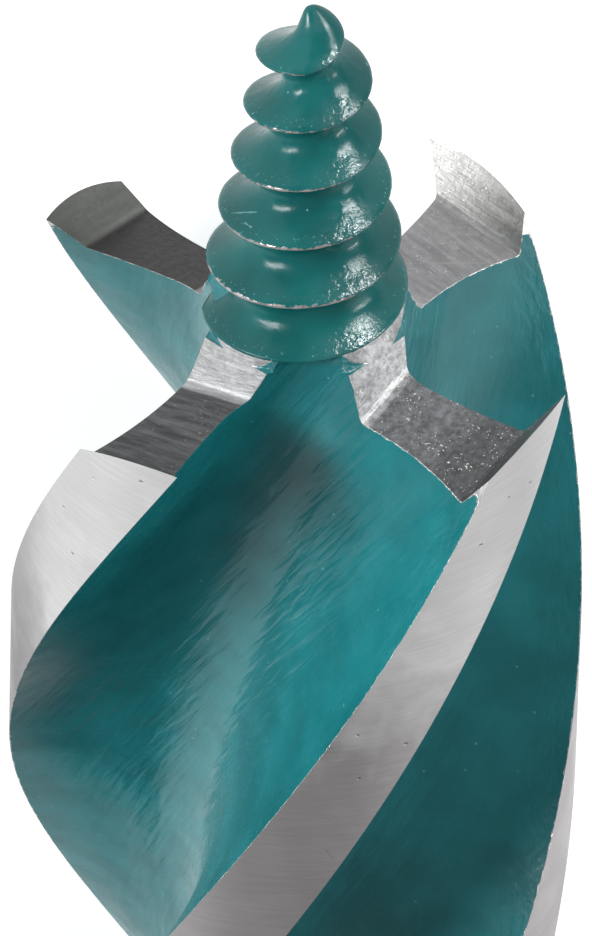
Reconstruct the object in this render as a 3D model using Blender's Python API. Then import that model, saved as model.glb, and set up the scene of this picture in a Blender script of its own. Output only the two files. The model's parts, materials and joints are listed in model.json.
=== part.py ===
"""A four-flute wood drill bit, forged and ground from one piece of steel.

From the tip down it has a tapered feed screw, a short collar, four wings that each end in a
spur and a cutting edge, four right-hand helical flutes, a round neck and a hexagonal shank.
It is modelled upright about the Z axis, with the spur points at height 0, and is then laid on
its side as it rests on a table, with the origin under the middle of its box.
Metres and radians throughout.
"""

from math import acos, atan2, ceil, cos, pi, radians, sin, sqrt, tan

import bmesh
import bpy
from mathutils import Euler, Vector

# Overall sizes
BIT_DIAMETER = 0.025
OVERALL_LENGTH = 0.160
WORKING_LENGTH = 0.100
FLUTES = 4

# Flutes: one turn of the helix, the solid core between them, and the arcs of their section
FLUTE_PITCH = 0.141
CORE_RADIUS = 0.00385
FLUTE_ROOT_RADIUS = 0.0037
FLUTE_ROOT_ANGLE = radians(27.5)
LEADING_FLANK_RADIUS = 0.035
TRAILING_FLANK_RADIUS = 0.0195
LAND_ANGLE = radians(21)
REAR_RUN_OUT_RADIUS = 0.030
FRONT_RUN_OUT_RADIUS = 0.0015
REAR_CONE_ANGLE = radians(45)
RUN_OUT_TAIL = 0.0045

# Ground end faces of the wings
SPUR_HEIGHT = 0.0016
SPUR_WIDTH = 0.0012
EDGE_RISE = 0.0004
RELIEF_ANGLE = radians(12)
WALL_ANGLE = radians(67)
WALL_SETBACK = 0.0006
WHEEL_CORNER_RADIUS = 0.00035

# Collar and feed screw
COLLAR_RADIUS = 0.0044
COLLAR_HEIGHT = 0.0012
SHOULDER_DEPTH = 0.00015
SCREW_LENGTH = 0.0169
THREAD_RADIUS = 0.00445
SCREW_PITCH = 0.00291
THREAD_DEPTH = 0.0014
THREAD_CREST_SHARE = 0.025
SCREW_TAPER = 0.166
STRAIGHT_THREAD = 0.0022
THREAD_FADE = 0.0017
SCREW_POINT_LENGTH = 0.0011
POINT_OFFSET = 0.0002
POINT_OFFSET_RISE = 0.0025
THREAD_START_AZIMUTH = radians(183.4)
GROOVE_RUN_IN = 0.0006
GROOVE_RUN_IN_ANGLE = radians(75)

# Shank
NECK_RADIUS = 0.0053
HEX_ACROSS_FLATS = 0.011
HEX_LENGTH = 0.038
HEX_CHAMFER_ANGLE = radians(30)
END_CHAMFER = 0.0009

# How the bit lies: the azimuths of a spur point and of the side that rests on the table
SPUR_AZIMUTH = radians(-24.9)
RESTING_AZIMUTH = radians(106)

# Facets
LAND_STEPS = 6
FLUTE_STEPS = 16
TWIST_STEP = radians(7.5)
RUN_OUT_RINGS = 7
COLLAR_STEPS = 48
CORNER_STEPS = 3
THREAD_TURN_STEPS = 30
THREAD_PROFILE_STEPS = 8
THREAD_OVERLAP = 0.0002
GROOVE_CLEARANCE = 0.00003
CUTTER_MARGIN = 0.002
MERGE_DISTANCE = 1e-7

BIT_RADIUS = BIT_DIAMETER / 2
SHANK_END = SCREW_LENGTH - OVERALL_LENGTH
FLUTE_END = SCREW_LENGTH - WORKING_LENGTH
HEX_TOP = SHANK_END + HEX_LENGTH
HEX_CORNER_RADIUS = HEX_ACROSS_FLATS / 2 / cos(pi / 6)
BLANK_TOP = COLLAR_HEIGHT
RELIEF_SLOPE = tan(RELIEF_ANGLE)
SCREW_BOTTOM = -GROOVE_RUN_IN - THREAD_OVERLAP

# Parts of the flute outline that the leading flank and the root take, by number of facets
FLANK_SHARE = 0.25
ROOT_SHARE = 0.45


def polar(radius, azimuth):
    return Vector((radius * cos(azimuth), radius * sin(azimuth)))


def azimuth_of(point):
    return atan2(point.y, point.x)


def flank_centre(corner, root_centre, radius, side):
    """Centre of the flank arc that passes the corner and runs tangentially into the root arc."""
    span = root_centre - corner
    distance = span.length
    to_root = radius - FLUTE_ROOT_RADIUS
    along = (radius**2 - to_root**2 + distance**2) / (2 * distance)
    across = sqrt(max(radius**2 - along**2, 0.0))
    direction = span / distance
    normal = Vector((-direction.y, direction.x)) * side
    return corner + direction * along + normal * across


def unwrap(azimuth, reference):
    """The same azimuth, on the turn nearest to the reference."""
    return azimuth - 2 * pi * round((azimuth - reference) / (2 * pi))


class FluteOutline:
    """One flute's section, from the wing behind it to the heel of the wing before it.

    The wing's leading corner is at azimuth 0. A flute has three arcs that run into each
    other: the leading flank, the root and the trailing flank.
    """

    def __init__(self):
        pitch_angle = 2 * pi / FLUTES
        self.root_centre = polar(CORE_RADIUS + FLUTE_ROOT_RADIUS, FLUTE_ROOT_ANGLE)
        self.lift_direction = polar(1, (pitch_angle - LAND_ANGLE) / 2)
        corner = polar(BIT_RADIUS, 0)
        heel = polar(BIT_RADIUS, pitch_angle - LAND_ANGLE)
        leading = flank_centre(corner, self.root_centre, LEADING_FLANK_RADIUS, -1)
        trailing = flank_centre(heel, self.root_centre, TRAILING_FLANK_RADIUS, 1)
        to_leading = azimuth_of(self.root_centre - leading)
        to_trailing = unwrap(azimuth_of(self.root_centre - trailing), to_leading)
        from_corner = unwrap(azimuth_of(corner - leading), to_leading)
        to_heel = unwrap(azimuth_of(heel - trailing), to_trailing)
        self.arcs = (
            (leading, LEADING_FLANK_RADIUS, from_corner, to_leading, FLANK_SHARE),
            (self.root_centre, FLUTE_ROOT_RADIUS, to_leading, to_trailing, ROOT_SHARE),
            (trailing, TRAILING_FLANK_RADIUS, to_trailing, to_heel, 1 - FLANK_SHARE - ROOT_SHARE),
        )

    def point(self, share, lift=0.0):
        """The point at this share of the outline, with the flute lifted out of the core."""
        for centre, radius, first, last, part in self.arcs:
            if share <= part or part is self.arcs[-1][4]:
                angle = first + (last - first) * share / part
                return centre + polar(radius, angle) + self.lift_direction * lift
            share -= part

    def deepest(self, lift):
        """The share at which the flute comes nearest to the axis."""
        low, high = 0.0, 1.0
        for _ in range(60):
            third = (high - low) / 3
            if self.point(low + third, lift).length < self.point(high - third, lift).length:
                high -= third
            else:
                low += third
        return (low + high) / 2

    def clip(self, outer_radius, lift):
        """The shares between which the flute lies inside a blank of this radius."""
        deepest = self.deepest(lift)
        if self.point(deepest, lift).length >= outer_radius:
            return deepest, deepest
        ends = []
        for outside in (0.0, 1.0):
            inside = deepest
            for _ in range(50):
                middle = (inside + outside) / 2
                if self.point(middle, lift).length < outer_radius:
                    inside = middle
                else:
                    outside = middle
            ends.append(outside)
        return ends


def turning_profile():
    """Heights and radii of the turned blank, from the shank's end up."""
    chamfer_rise = (HEX_CORNER_RADIUS - NECK_RADIUS) * tan(HEX_CHAMFER_ANGLE)
    cone_end = FLUTE_END + RUN_OUT_TAIL
    cone_start = cone_end + (BIT_RADIUS - NECK_RADIUS) / tan(REAR_CONE_ANGLE)
    return (
        (SHANK_END, HEX_CORNER_RADIUS - END_CHAMFER),
        (SHANK_END + END_CHAMFER, HEX_CORNER_RADIUS),
        (HEX_TOP - chamfer_rise, HEX_CORNER_RADIUS),
        (HEX_TOP, NECK_RADIUS),
        (cone_end, NECK_RADIUS),
        (cone_start, BIT_RADIUS),
        (BLANK_TOP, BIT_RADIUS),
    )


def turned_radius(height):
    profile = turning_profile()
    for (low, low_radius), (high, high_radius) in zip(profile, profile[1:]):
        if height <= high:
            share = max((height - low) / (high - low), 0.0)
            return low_radius + (high_radius - low_radius) * share
    return profile[-1][1]


def rear_run_out_length():
    rise = NECK_RADIUS - CORE_RADIUS
    return sqrt(REAR_RUN_OUT_RADIUS**2 - (REAR_RUN_OUT_RADIUS - rise) ** 2)


def front_run_out_length():
    rise = min(COLLAR_RADIUS - CORE_RADIUS, FRONT_RUN_OUT_RADIUS)
    return sqrt(FRONT_RUN_OUT_RADIUS**2 - (FRONT_RUN_OUT_RADIUS - rise) ** 2)


def flute_lift(height):
    """How far the grinding wheel has risen out of the core at this height."""
    into_rear = FLUTE_END + rear_run_out_length() - height
    into_front = height - (COLLAR_HEIGHT - front_run_out_length())
    for depth, radius in ((into_rear, REAR_RUN_OUT_RADIUS), (into_front, FRONT_RUN_OUT_RADIUS)):
        if depth > 0:
            return radius - sqrt(max(radius**2 - depth**2, 0.0))
    return 0.0


def twist(height):
    return SPUR_AZIMUTH + 2 * pi * height / FLUTE_PITCH


def hexagon_radius(azimuth):
    """Distance from the axis to a flat, with a flat turned to the table."""
    from_flat = (azimuth - RESTING_AZIMUTH + pi / 6) % (pi / 3) - pi / 6
    return HEX_ACROSS_FLATS / 2 / cos(from_flat)


def shank_ring(height, outline):
    """A round or hexagonal ring below the flutes, with a vertex on each hexagon corner."""
    step = 2 * pi / (FLUTES * LAND_STEPS)
    seam = twist(FLUTE_END) + azimuth_of(outline.point(outline.deepest(0)))
    first = RESTING_AZIMUTH + step * round((seam - RESTING_AZIMUTH) / step)
    points = []
    for index in range(FLUTES * LAND_STEPS):
        azimuth = first + step * (index - LAND_STEPS)
        radius = min(hexagon_radius(azimuth), turned_radius(height))
        repeats = FLUTE_STEPS if (index + 1) % LAND_STEPS == 0 else 0
        points.append(polar(radius, azimuth).to_3d() + Vector((0, 0, height)))
        next_azimuth = azimuth + step
        next_radius = min(hexagon_radius(next_azimuth), turned_radius(height))
        closing = polar(next_radius, next_azimuth).to_3d() + Vector((0, 0, height))
        points.extend([closing] * repeats)
    return points


def fluted_ring(height, outline):
    """The section at this height: for each wing its land, then the flute in front of it."""
    outer = turned_radius(height)
    lift = flute_lift(height)
    start, end = outline.clip(outer, lift)
    pitch_angle = 2 * pi / FLUTES
    land_start = azimuth_of(outline.point(end, lift)) - pitch_angle
    land_end = azimuth_of(outline.point(start, lift))
    has_flute = end > start
    points = []
    for wing in range(FLUTES):
        turn = twist(height) + wing * pitch_angle
        for index in range(LAND_STEPS):
            azimuth = land_start + (land_end - land_start) * index / LAND_STEPS
            points.append(polar(outer, turn + azimuth).to_3d())
        for index in range(FLUTE_STEPS):
            place = outline.point(start + (end - start) * index / FLUTE_STEPS, lift)
            radius = place.length if has_flute else outer
            points.append(polar(radius, turn + azimuth_of(place)).to_3d())
    return [point + Vector((0, 0, height)) for point in points]


def fluted_heights():
    """Ring heights: close together where the flutes run out, then one for each twist step."""
    run_out = rear_run_out_length()
    heights = {FLUTE_END + run_out * (i / RUN_OUT_RINGS) ** 2 for i in range(RUN_OUT_RINGS + 1)}
    heights |= {height for height, _ in turning_profile() if height > FLUTE_END}
    bottom = FLUTE_END + run_out
    steps = ceil((BLANK_TOP - bottom) / (FLUTE_PITCH * TWIST_STEP / (2 * pi)))
    heights |= {bottom + (BLANK_TOP - bottom) * i / steps for i in range(steps)}
    start = COLLAR_HEIGHT - front_run_out_length()
    heights |= {start + (BLANK_TOP - start) * i / CORNER_STEPS for i in range(CORNER_STEPS)}
    return sorted(heights)


def mesh_object(name, mesh_data, material):
    bmesh.ops.recalc_face_normals(mesh_data, faces=mesh_data.faces)
    mesh = bpy.data.meshes.new(name)
    mesh_data.to_mesh(mesh)
    mesh_data.free()
    mesh.materials.append(material)
    mesh.shade_smooth()
    mesh.set_sharp_from_angle(angle=radians(28))
    result = bpy.data.objects.new(name, mesh)
    bpy.context.scene.collection.objects.link(result)
    return result


def loft(rings):
    """A closed bmesh through rings of equal length, with both ends filled."""
    result = bmesh.new()
    rows = [[result.verts.new(point) for point in ring] for ring in rings]
    for lower, upper in zip(rows, rows[1:]):
        for index in range(len(lower)):
            after = (index + 1) % len(lower)
            result.faces.new((lower[index], lower[after], upper[index]))
            result.faces.new((lower[after], upper[after], upper[index]))
    bmesh.ops.remove_doubles(result, verts=result.verts, dist=MERGE_DISTANCE)
    bmesh.ops.holes_fill(result, edges=result.edges)
    return result


def fluted_blank(material):
    outline = FluteOutline()
    shank_heights = [height for height, _ in turning_profile() if height < FLUTE_END]
    rings = [shank_ring(height, outline) for height in shank_heights]
    rings += [fluted_ring(height, outline) for height in fluted_heights()]
    return mesh_object("drill_bit", loft(rings), material)


def shoulder_cutter(material):
    """The ring that is turned away round the collar, above the spurs and their wings."""
    outside = BIT_RADIUS + CUTTER_MARGIN
    high = BLANK_TOP + CUTTER_MARGIN
    profile = (
        (COLLAR_RADIUS, -SHOULDER_DEPTH),
        (BIT_RADIUS * cos(LAND_ANGLE / 2) - SPUR_WIDTH, 0),
        (outside, 0),
        (outside, high),
        (COLLAR_RADIUS, high),
    )
    result = bmesh.new()
    corners = [result.verts.new((radius, 0, height)) for radius, height in profile]
    edges = [result.edges.new((corners[i - 1], corners[i])) for i in range(len(corners))]
    bmesh.ops.spin(result, geom=corners + edges, axis=(0, 0, 1), cent=(0, 0, 0),
                   angle=2 * pi, steps=COLLAR_STEPS, use_merge=True)
    return mesh_object("shoulder_cutter", result, material)


def rounded_corner(before, corner, after, radius):
    """Points of the arc that replaces a corner of a profile."""
    back = (before - corner).normalized()
    ahead = (after - corner).normalized()
    half = acos(max(-1.0, min(1.0, back.dot(ahead)))) / 2
    centre = corner + (back + ahead).normalized() * radius / sin(half)
    first = corner + back * radius / tan(half) - centre
    last = corner + ahead * radius / tan(half) - centre
    start = azimuth_of(first)
    sweep = unwrap(azimuth_of(last), start) - start
    return [centre + polar(radius, start + sweep * i / CORNER_STEPS)
            for i in range(CORNER_STEPS + 1)]


def wheel_profile():
    """The grinding wheel's face over a wing: distance from the axis, and height.

    Heights are taken along the line through the spur point. The wall cuts on into the collar,
    the floor makes the cutting edge, and the outer slope makes the spur.
    """
    corner = BIT_RADIUS * cos(LAND_ANGLE / 2)
    foot_height = -SPUR_HEIGHT + EDGE_RISE
    foot = Vector((COLLAR_RADIUS + WALL_SETBACK, foot_height))
    crease = Vector((corner - SPUR_WIDTH, -SPUR_HEIGHT))
    outside = BIT_RADIUS + CUTTER_MARGIN
    slope = SPUR_HEIGHT / SPUR_WIDTH
    spur_outside = Vector((outside, (outside - corner) * slope))
    ceiling = max(BLANK_TOP, spur_outside.y) + 2 * CUTTER_MARGIN
    wall_width = (ceiling - foot_height) / tan(WALL_ANGLE)
    wall_top = Vector((foot.x - wall_width, ceiling))
    return [
        wall_top,
        *rounded_corner(wall_top, foot, crease, WHEEL_CORNER_RADIUS),
        *rounded_corner(foot, crease, spur_outside, WHEEL_CORNER_RADIUS),
        spur_outside,
        Vector((outside, ceiling)),
    ]


def face_cutter(wing, material):
    """What the wheel takes off one wing as it crosses it, falling away behind the edge."""
    reach = BIT_RADIUS
    spur_across = BIT_RADIUS * sin(LAND_ANGLE / 2)
    result = bmesh.new()
    profile = [
        result.verts.new((distance, -reach, height - (reach + spur_across) * RELIEF_SLOPE))
        for distance, height in wheel_profile()
    ]
    face = result.faces.new(profile)
    moved = bmesh.ops.extrude_face_region(result, geom=[face], use_keep_orig=True)["geom"]
    crossing = Vector((0, 2 * reach, 2 * reach * RELIEF_SLOPE))
    bmesh.ops.translate(result, vec=crossing,
                        verts=[item for item in moved if isinstance(item, bmesh.types.BMVert)])
    cutter = mesh_object(f"face_cutter_{wing + 1}", result, material)
    cutter.rotation_euler.z = SPUR_AZIMUTH - LAND_ANGLE / 2 + wing * 2 * pi / FLUTES
    return cutter


def crest_radius(height):
    return THREAD_RADIUS - SCREW_TAPER * max(height - STRAIGHT_THREAD, 0.0)


def root_radius(height):
    """The screw's core under the thread, rounded off to its point."""
    radius = crest_radius(height) - THREAD_DEPTH
    into_point = (height - (SCREW_LENGTH - SCREW_POINT_LENGTH)) / SCREW_POINT_LENGTH
    return radius * sqrt(max(1 - max(into_point, 0.0) ** 2, 0.0))


def ridge_height(height):
    """How far the thread stands out of the core, from the collar to the point."""
    begun = min(max(1 + height / GROOVE_RUN_IN, 0.0), 1.0)
    left = min(max((SCREW_LENGTH - height) / THREAD_FADE, 0.0), 1.0)
    return THREAD_DEPTH * begun * left**2


def ridge_shape(share):
    """The thread's section from one crest to the next: narrow crests and a rounded root."""
    across = (share - THREAD_CREST_SHARE) / (1 - 2 * THREAD_CREST_SHARE)
    return 1 - sin(pi * min(max(across, 0.0), 1.0)) ** 0.8


def point_offset(height):
    """How far the core winds off the axis with the thread, towards its point."""
    share = max(1 - (SCREW_LENGTH - height) / POINT_OFFSET_RISE, 0.0)
    azimuth = THREAD_START_AZIMUTH + 2 * pi * height / SCREW_PITCH
    return polar(POINT_OFFSET * share, azimuth)


def screw_point(azimuth, share):
    """A point of the screw above this azimuth, at this share of the way up to the next turn."""
    bottom = SCREW_BOTTOM
    crest_height = (azimuth - THREAD_START_AZIMUTH) / (2 * pi) * SCREW_PITCH
    rise = min(max(SCREW_LENGTH - crest_height, 0.0), SCREW_PITCH)
    height = min(max(crest_height + share * rise, bottom), SCREW_LENGTH)
    share = (height - crest_height) / SCREW_PITCH
    ridge = ridge_height(crest_height if share < 0.5 else crest_height + SCREW_PITCH)
    radius = root_radius(height) + ridge * ridge_shape(share)
    if height >= SCREW_LENGTH:
        radius = 0.0
    place = polar(radius, azimuth) + point_offset(height)
    return place.to_3d() + Vector((0, 0, height))


def feed_screw(material):
    """The tapered screw as one sheet that winds up to its point, one thread wide."""
    first_turn = ceil(SCREW_BOTTOM / SCREW_PITCH - 2)
    start = 2 * pi * first_turn + THREAD_START_AZIMUTH
    turns = ceil(SCREW_LENGTH / SCREW_PITCH) - first_turn + 1
    result = bmesh.new()
    columns = []
    for index in range(turns * THREAD_TURN_STEPS + 1):
        azimuth = start + 2 * pi * index / THREAD_TURN_STEPS
        columns.append([
            result.verts.new(screw_point(azimuth, step / THREAD_PROFILE_STEPS))
            for step in range(THREAD_PROFILE_STEPS + 1)
        ])
    for left, right in zip(columns, columns[1:]):
        for step in range(THREAD_PROFILE_STEPS):
            result.faces.new((left[step], right[step], right[step + 1], left[step + 1]))
    bmesh.ops.remove_doubles(result, verts=result.verts, dist=MERGE_DISTANCE * 10)
    bmesh.ops.holes_fill(result, edges=result.edges)
    return mesh_object("feed_screw", result, material)


def groove_cutter(material):
    """The last turn of the thread's groove, which starts in the collar and deepens upwards."""
    start = THREAD_START_AZIMUTH - 2 * pi * GROOVE_RUN_IN / SCREW_PITCH
    end = THREAD_START_AZIMUTH + 2 * pi * (COLLAR_HEIGHT + GROOVE_RUN_IN) / SCREW_PITCH
    steps = ceil((end - start) / (2 * pi) * THREAD_TURN_STEPS)
    outside = THREAD_RADIUS + CUTTER_MARGIN
    result = bmesh.new()
    sections = []
    for index in range(steps + 1):
        azimuth = start + (end - start) * index / steps
        depth = min((azimuth - start) / GROOVE_RUN_IN_ANGLE, 1.0)
        crest_height = (azimuth - THREAD_START_AZIMUTH) / (2 * pi) * SCREW_PITCH
        section = []
        for step in range(THREAD_PROFILE_STEPS + 1):
            share = step / THREAD_PROFILE_STEPS
            height = crest_height + share * SCREW_PITCH
            thread = root_radius(height) + THREAD_DEPTH * ridge_shape(share) - GROOVE_CLEARANCE
            section.append((outside + (thread - outside) * depth, height))
        section.append((outside + CUTTER_MARGIN, crest_height + SCREW_PITCH))
        section.append((outside + CUTTER_MARGIN, crest_height))
        sections.append([
            result.verts.new(polar(radius, azimuth).to_3d() + Vector((0, 0, height)))
            for radius, height in section
        ])
    for left, right in zip(sections, sections[1:]):
        for index in range(len(left)):
            result.faces.new((left[index - 1], left[index], right[index], right[index - 1]))
    result.faces.new(sections[0])
    result.faces.new(sections[-1])
    return mesh_object("groove_cutter", result, material)


def apply_boolean(target, tool, operation):
    modifier = target.modifiers.new(tool.name, "BOOLEAN")
    modifier.operation = operation
    modifier.object = tool
    tool.hide_render = True
    tool.display_type = "WIRE"
    tool.parent = target


def steel(name, colour, roughness, metallic):
    material = bpy.data.materials.new(name)
    material.use_nodes = True
    shader = material.node_tree.nodes["Principled BSDF"]
    shader.inputs["Base Color"].default_value = (*colour, 1)
    shader.inputs["Roughness"].default_value = roughness
    shader.inputs["Metallic"].default_value = metallic
    return material


def lay_down(bit):
    """Turns the resting side to the table and the tip to +X, over the middle of the box."""
    to_table = Euler((0, pi / 2, 0)).to_matrix() @ Euler((0, 0, -RESTING_AZIMUTH)).to_matrix()
    bit.rotation_euler = to_table.to_euler()
    bit.location = (OVERALL_LENGTH / 2 - SCREW_LENGTH, 0, BIT_RADIUS)


def build():
    for leftover in list(bpy.data.objects):
        bpy.data.objects.remove(leftover)
    lacquer = steel("lacquered_steel", (0.012, 0.19, 0.2), 0.35, 0.3)
    ground = steel("ground_steel", (0.6, 0.6, 0.6), 0.35, 1.0)
    bit = fluted_blank(lacquer)
    bit.data.materials.append(ground)
    apply_boolean(bit, shoulder_cutter(lacquer), "DIFFERENCE")
    for wing in range(FLUTES):
        apply_boolean(bit, face_cutter(wing, ground), "DIFFERENCE")
    apply_boolean(bit, groove_cutter(lacquer), "DIFFERENCE")
    apply_boolean(bit, feed_screw(lacquer), "UNION")
    lay_down(bit)


build()
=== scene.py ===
"""The looks of a four-flute wood drill bit: worn teal lacquer over bare ground steel.

The bit is built here again at a fine grain, in the form that the frame's solid has, so that its
edges, its ground faces and the lacquer's edge can be shaded.
The bit is modelled upright, its spur points at height 0, and then laid down as the frame has it.
Sizes are in metres and angles in radians. What the materials go by is in millimetres.
"""

import json
from collections import namedtuple
from math import acos, atan2, ceil, cos, pi, radians, sin, sqrt, tan

import bmesh
import bpy
from mathutils import Euler, Matrix, Vector, kdtree, noise

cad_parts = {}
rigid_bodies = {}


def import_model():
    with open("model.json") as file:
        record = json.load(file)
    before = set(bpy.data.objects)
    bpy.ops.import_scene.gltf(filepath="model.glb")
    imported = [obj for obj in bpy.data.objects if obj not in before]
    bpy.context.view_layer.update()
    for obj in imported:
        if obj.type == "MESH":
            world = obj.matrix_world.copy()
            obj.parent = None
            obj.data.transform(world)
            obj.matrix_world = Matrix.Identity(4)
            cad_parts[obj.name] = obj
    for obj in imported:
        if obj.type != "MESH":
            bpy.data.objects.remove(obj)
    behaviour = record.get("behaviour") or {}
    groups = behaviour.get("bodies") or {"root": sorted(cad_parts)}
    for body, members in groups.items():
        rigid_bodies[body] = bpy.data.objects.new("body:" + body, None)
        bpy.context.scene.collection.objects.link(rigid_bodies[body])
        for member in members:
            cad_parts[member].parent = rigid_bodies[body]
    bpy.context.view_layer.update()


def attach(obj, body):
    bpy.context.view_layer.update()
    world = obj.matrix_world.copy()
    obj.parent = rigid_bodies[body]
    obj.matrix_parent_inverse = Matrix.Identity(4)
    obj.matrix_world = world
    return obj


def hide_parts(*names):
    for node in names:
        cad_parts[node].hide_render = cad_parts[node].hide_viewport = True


NODE = "drill_bit"
BODY = "root"

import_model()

# Overall sizes
BIT_DIAMETER = 0.025
OVERALL_LENGTH = 0.160
WORKING_LENGTH = 0.100
FLUTES = 4

# Flutes
FLUTE_PITCH = 0.141
CORE_RADIUS = 0.00385
FLUTE_ROOT_RADIUS = 0.0037
FLUTE_ROOT_ANGLE = radians(27.5)
LEADING_FLANK_RADIUS = 0.035
TRAILING_FLANK_RADIUS = 0.0195
LAND_ANGLE = radians(21)
REAR_RUN_OUT_RADIUS = 0.030
FRONT_RUN_OUT_RADIUS = 0.0015
REAR_CONE_ANGLE = radians(45)
RUN_OUT_TAIL = 0.0045

# Ground end faces of the wings
SPUR_HEIGHT = 0.0016
SPUR_WIDTH = 0.0012
EDGE_RISE = 0.0004
RELIEF_ANGLE = radians(12)
WALL_ANGLE = radians(67)
WALL_SETBACK = 0.0006
WHEEL_CORNER_RADIUS = 0.00035

# Collar and feed screw
COLLAR_RADIUS = 0.0044
COLLAR_HEIGHT = 0.0012
SHOULDER_DEPTH = 0.00015
SCREW_LENGTH = 0.0169
THREAD_RADIUS = 0.00445
SCREW_PITCH = 0.00291
THREAD_DEPTH = 0.0014
RIDGE_POWER = 0.8
CREST_ROUNDING = 0.035
SCREW_TAPER = 0.166
STRAIGHT_THREAD = 0.0022
THREAD_FADE = 0.0017
SCREW_POINT_LENGTH = 0.0011
POINT_OFFSET = 0.0002
POINT_OFFSET_RISE = 0.0025
THREAD_START_AZIMUTH = radians(183.4)
GROOVE_RUN_IN = 0.0006
GROOVE_RUN_IN_ANGLE = radians(75)

# Shank
NECK_RADIUS = 0.0053
HEX_ACROSS_FLATS = 0.011
HEX_LENGTH = 0.038
HEX_CHAMFER_ANGLE = radians(30)
END_CHAMFER = 0.0009

# How the bit lies
SPUR_AZIMUTH = radians(-24.9)
RESTING_AZIMUTH = radians(106)

# Grain of the mesh
LAND_STEPS = 16
FLUTE_STEPS = 65
WING_STEPS = LAND_STEPS + FLUTE_STEPS
SEARCH_STEPS = 60
TIP_DEPTH = 0.006
TIP_RING_STEP = 0.0003
BODY_RING_STEP = 0.0006
SHANK_RING_STEP = 0.0024
COLLAR_STEPS = 160
CORNER_STEPS = 6
FACE_STEPS = 30
THREAD_TURN_STEPS = 90
THREAD_PROFILE_STEPS = 36
THREAD_OVERLAP = 0.0002
GROOVE_CLEARANCE = 0.00003
CUTTER_MARGIN = 0.002
MERGE_DISTANCE = 1e-6
LOFT_DIGITS = 8
SCREW_DIGITS = 7
SMOOTH_ANGLE = radians(36)

# Dents in the screw's lacquer: where it was struck, how deep and how wide the dents are
STRUCK_AZIMUTH = radians(-62)
STRUCK_WIDTH = radians(28)
STRUCK_DENT = 0.00004
PLAIN_DENT = 0.000012
DENT_SIZE = 0.00035
DENT_ROUGHNESS = 0.8
DENT_SPACING = 2.0
DENT_OCTAVES = 3
DENT_FADE = 0.002

# The side of the screw whose crests are worn, and the spacing of points along the lacquer's edge
WORN_AZIMUTH = radians(250)
EDGE_STEP = 0.0001

# Colours
LACQUER_DARK = (0.006, 0.120, 0.132)
LACQUER_LIGHT = (0.010, 0.160, 0.176)
SCREW_DARK = (0.004, 0.074, 0.074)
SCREW_LIGHT = (0.006, 0.104, 0.103)
# Pale specks and scratches in the lacquer, and the painted glints above the screw's crests
LACQUER_SPECK_AND_GLINT = (0.20, 0.42, 0.42)
WORN_STEEL = (0.58, 0.56, 0.55)
WORN_CREST = (0.50, 0.47, 0.47)
WORN_CREST_DARK = (0.24, 0.22, 0.225)
# The lands' tones are painted reflections: bright towards the tip, darker further down
LAND_PAINTED_TIP_REFLECTION = (0.54, 0.54, 0.54)
LAND_PAINTED_BRIGHT_REFLECTION = (0.58, 0.58, 0.58)
LAND_PAINTED_DARK_REFLECTION = (0.37, 0.355, 0.36)
NICK_DARK = (0.18, 0.175, 0.17)
SPECK_BRIGHT = (0.85, 0.83, 0.78)
SHANK_DARK = (0.36, 0.36, 0.37)
SHANK_LIGHT = (0.47, 0.47, 0.48)
SHANK_SCUFF = (0.68, 0.68, 0.69)
FLOOR_COLOUR = (0.5, 0.5, 0.5)
WHITE = (1.0, 1.0, 1.0, 1.0)

# Each wing's ground face, in turn round the bit: its tones from the wall at the collar out to the
# spur, which are painted reflections that make each wing and each facet lighter or darker, and how
# strongly its marks, its mottling and its specks show
Face = namedtuple("Face", "wall floor outer spur marks mottle specks")
FACE_REFLECTIONS_AND_MARKS = (
    Face((0.35, 0.355, 0.36), (0.144, 0.150, 0.156), (0.080, 0.084, 0.088), (0.072, 0.076, 0.076),
         0.14, 0.40, 0.75),
    Face((0.29, 0.29, 0.30), (0.222, 0.222, 0.228), (0.25, 0.25, 0.255), (0.30, 0.30, 0.29),
         0.22, 0.12, 0.35),
    Face((0.20, 0.20, 0.20), (0.018, 0.018, 0.017), (0.018, 0.018, 0.017), (0.105, 0.108, 0.100),
         0.12, 0.08, 0.05),
    Face((0.30, 0.304, 0.308), (0.062, 0.064, 0.066), (0.054, 0.056, 0.058), (0.22, 0.22, 0.22),
         0.70, 0.10, 0.15),
)

# Roughness, from the glossiest patches to the dullest
FLUTE_ROUGHNESS = (0.22, 0.30)
SCREW_ROUGHNESS = (0.17, 0.27)
COLLAR_ROUGHNESS = 0.26
LAND_ROUGHNESS = (0.34, 0.46)
FACE_ROUGHNESS = (0.34, 0.50)
SHANK_ROUGHNESS = (0.30, 0.42)
FLOOR_ROUGHNESS = 0.9

# Gloss of the lacquer, and how much each bare place is metal
FLUTE_GLOSS = (0.06, 0.36)
SCREW_GLOSS = 0.2
ADDED_GLOSS = 0.8
COLLAR_GLOSS = 0.5
CHIP_METAL = 0.7
CREST_METAL = 0.6
LAND_METAL = 0.8
FACE_METAL = 0.6
SHANK_METAL = 0.75

# Relief in millimetres
LACQUER_THICKNESS = 0.02
STREAK_DEPTH = 0.09
RIPPLE_DEPTH = 0.05
FLUTE_GRAIN_DEPTH = 0.004
HAMMERED_DEPTH = 0.06
SCREW_WAVE_DEPTH = 0.02
SCREW_GRAIN_DEPTH = 0.003
COLLAR_LUMP_DEPTH = 0.16
LAND_MARK_DEPTH = 0.006
LAND_NICK_DEPTH = 0.04
FACE_MARK_DEPTH = 0.03
FACE_MOTTLE_DEPTH = 0.02
SHANK_MARK_DEPTH = 0.008

# Wear in millimetres: how far chips reach from the lacquer's edge, and how soft a worn edge is
FLUTE_CHIPS = 0.035
COLLAR_CHIPS = 0.02
WORN_EDGE = 0.02

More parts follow.
